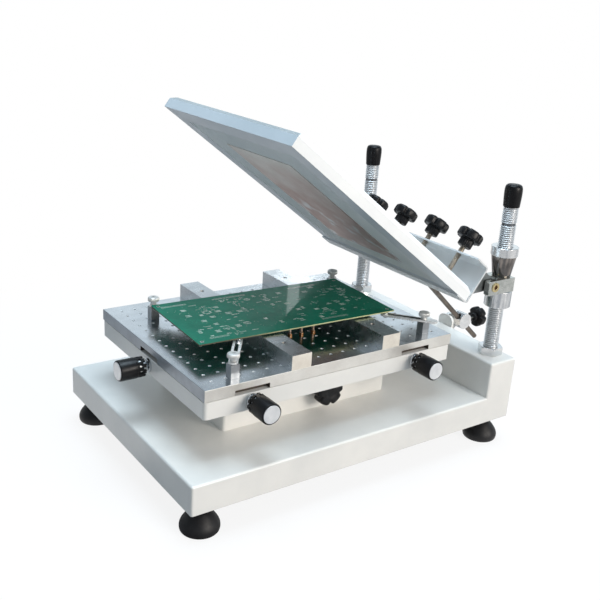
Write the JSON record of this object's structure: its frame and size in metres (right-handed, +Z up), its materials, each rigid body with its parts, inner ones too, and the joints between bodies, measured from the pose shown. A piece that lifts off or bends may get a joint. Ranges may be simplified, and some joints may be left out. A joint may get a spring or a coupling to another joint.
{
  "type": "solder paste stencil printer",
  "caption": "Bench-top manual stencil printer: a sheet steel base, an adjustable platform for a board, and a hinged holder that clamps a stencil frame over it.",
  "frame": {"origin": "middle of the outline on the floor, under the machine", "axes": "+X from the free end towards the hinge posts, +Y from the front to the back, +Z up"},
  "size_m": [0.6304, 0.382, 0.4757],
  "materials": {
    "cream_paint": "satin powder coat",
    "frame_paint": "smooth satin",
    "platform_aluminium": "brushed and polished",
    "slide_steel": "ground",
    "chrome": "polished",
    "black_plastic": "fine moulded",
    "black_rubber": "matte",
    "brass": "turned",
    "board_green": "gloss solder mask",
    "stencil_steel": "rolled sheet",
    "mesh_fabric": "fine woven polyester"
  },
  "bodies": {
    "base": {"base_housing": "cream_paint", "levelling_feet": "black_rubber", "pedestal": "cream_paint", "table_tray": "cream_paint", "spindle_bushes": "chrome", "hinge_posts": "chrome", "post_nuts": "chrome", "post_caps": "black_rubber", "lower_collars": "chrome", "upper_collars": "chrome", "hinge_blocks": "chrome", "hinge_pins": "brass", "stay_bracket": "cream_paint", "stay_clamp": "chrome"},
    "x_slide": {"cross_slide": "slide_steel"},
    "platform": {"platform_carrier": "platform_aluminium", "platform_plate": "platform_aluminium", "support_bars": "platform_aluminium", "support_columns": "platform_aluminium", "thumb_screws": "chrome", "board_pins": "brass", "circuit_board": "board_green"},
    "holder": {"clamp_channel": "frame_paint", "stencil_frame": "frame_paint", "stencil_mesh": "mesh_fabric", "stencil_foil": "stencil_steel"},
    "stay_rod": {"stay_rod": "slide_steel"},
    "stay_lock": {"stay_lock_knob": "black_plastic"},
    "table_lock": {"table_lock_knob": "black_plastic"},
    "knob_left": {"adjust_knob_left": "black_plastic", "adjust_spindle_left": "chrome"},
    "knob_front_left": {"adjust_knob_front_left": "black_plastic", "adjust_spindle_front_left": "chrome"},
    "knob_front_right": {"adjust_knob_front_right": "black_plastic", "adjust_spindle_front_right": "chrome"},
    "arm_front_left": {"support_arm_front_left": "chrome"},
    "arm_front_right": {"support_arm_front_right": "chrome"},
    "arm_back_left": {"support_arm_back_left": "chrome"},
    "arm_back_right": {"support_arm_back_right": "chrome"},
    "clamp_screw_1": {"clamp_knob_1": "black_plastic", "clamp_screw_1": "chrome"},
    "clamp_screw_2": {"clamp_knob_2": "black_plastic", "clamp_screw_2": "chrome"},
    "clamp_screw_3": {"clamp_knob_3": "black_plastic", "clamp_screw_3": "chrome"},
    "clamp_screw_4": {"clamp_knob_4": "black_plastic", "clamp_screw_4": "chrome"}
  },
  "joints": [
    {"name": "holder_tilt", "type": "hinge", "parent": "base", "child": "holder", "pos_m": [0.18726, 0.00355, 0.2475], "axis": [0, 1, 0], "range_deg": [-29, 15]},
    {"name": "stay_swing", "type": "hinge", "parent": "holder", "child": "stay_rod", "pos_m": [0.16886, -0.03295, 0.22917], "axis": [0, 1, 0], "range_deg": [-15, 29]},
    {"name": "stay_lock_turn", "type": "hinge", "parent": "base", "child": "stay_lock", "pos_m": [0.30012, -0.03295, 0.13572], "axis": [1, 0, 0], "continuous": true},
    {"name": "platform_x", "type": "slide", "parent": "base", "child": "x_slide", "axis": [1, 0, 0], "range_m": [-0.005, 0.005]},
    {"name": "platform_y", "type": "slide", "parent": "x_slide", "child": "platform", "axis": [0, 1, 0], "range_m": [-0.005, 0.005]},
    {"name": "adjust_left", "type": "hinge", "parent": "base", "child": "knob_left", "pos_m": [-0.26874, 0.00355, 0.1525], "axis": [-1, 0, 0], "range_deg": [-900, 900]},
    {"name": "adjust_front_left", "type": "hinge", "parent": "base", "child": "knob_front_left", "pos_m": [-0.20174, -0.14645, 0.1525], "axis": [0, -1, 0], "range_deg": [-900, 900]},
    {"name": "adjust_front_right", "type": "hinge", "parent": "base", "child": "knob_front_right", "pos_m": [0.06426, -0.14645, 0.1525], "axis": [0, -1, 0], "range_deg": [-900, 900]},
    {"name": "table_lock_turn", "type": "hinge", "parent": "base", "child": "table_lock", "pos_m": [-0.05174, -0.08595, 0.114], "axis": [0, -1, 0], "continuous": true},
    {"name": "arm_front_left_turn", "type": "hinge", "parent": "platform", "child": "arm_front_left", "pos_m": [-0.21874, -0.12595, 0.1966], "axis": [0, 0, 1], "range_deg": [-26, 60]},
    {"name": "arm_front_right_turn", "type": "hinge", "parent": "platform", "child": "arm_front_right", "pos_m": [0.09626, -0.12395, 0.1966], "axis": [0, 0, 1], "range_deg": [-60, 25]},
    {"name": "arm_back_left_turn", "type": "hinge", "parent": "platform", "child": "arm_back_left", "pos_m": [-0.21924, 0.09205, 0.1966], "axis": [0, 0, 1], "range_deg": [-60, 26]},
    {"name": "arm_back_right_turn", "type": "hinge", "parent": "platform", "child": "arm_back_right", "pos_m": [0.09026, 0.08505, 0.1966], "axis": [0, 0, 1], "range_deg": [-12, 60]},
    {"name": "clamp_screw_1_turn", "type": "hinge", "parent": "holder", "child": "clamp_screw_1", "pos_m": [0.16116, -0.11495, 0.28828], "axis": [0.5976, 0, 0.8018], "continuous": true},
    {"name": "clamp_screw_2_turn", "type": "hinge", "parent": "holder", "child": "clamp_screw_2", "pos_m": [0.16116, -0.04545, 0.28828], "axis": [0.5976, 0, 0.8018], "continuous": true},
    {"name": "clamp_screw_3_turn", "type": "hinge", "parent": "holder", "child": "clamp_screw_3", "pos_m": [0.16116, 0.02405, 0.28828], "axis": [0.5976, 0, 0.8018], "continuous": true},
    {"name": "clamp_screw_4_turn", "type": "hinge", "parent": "holder", "child": "clamp_screw_4", "pos_m": [0.16116, 0.09355, 0.28828], "axis": [0.5976, 0, 0.8018], "continuous": true}
  ],
  "couplings": [
    {"joint": "stay_swing", "follows": "holder_tilt", "ratio": -1},
    {"joint": "adjust_left", "follows": "platform_x", "rad_per_m": -3141.6},
    {"joint": "adjust_front_left", "follows": "platform_y", "rad_per_m": -3141.6},
    {"joint": "adjust_front_right", "follows": "platform_y", "rad_per_m": -3141.6}
  ]
}
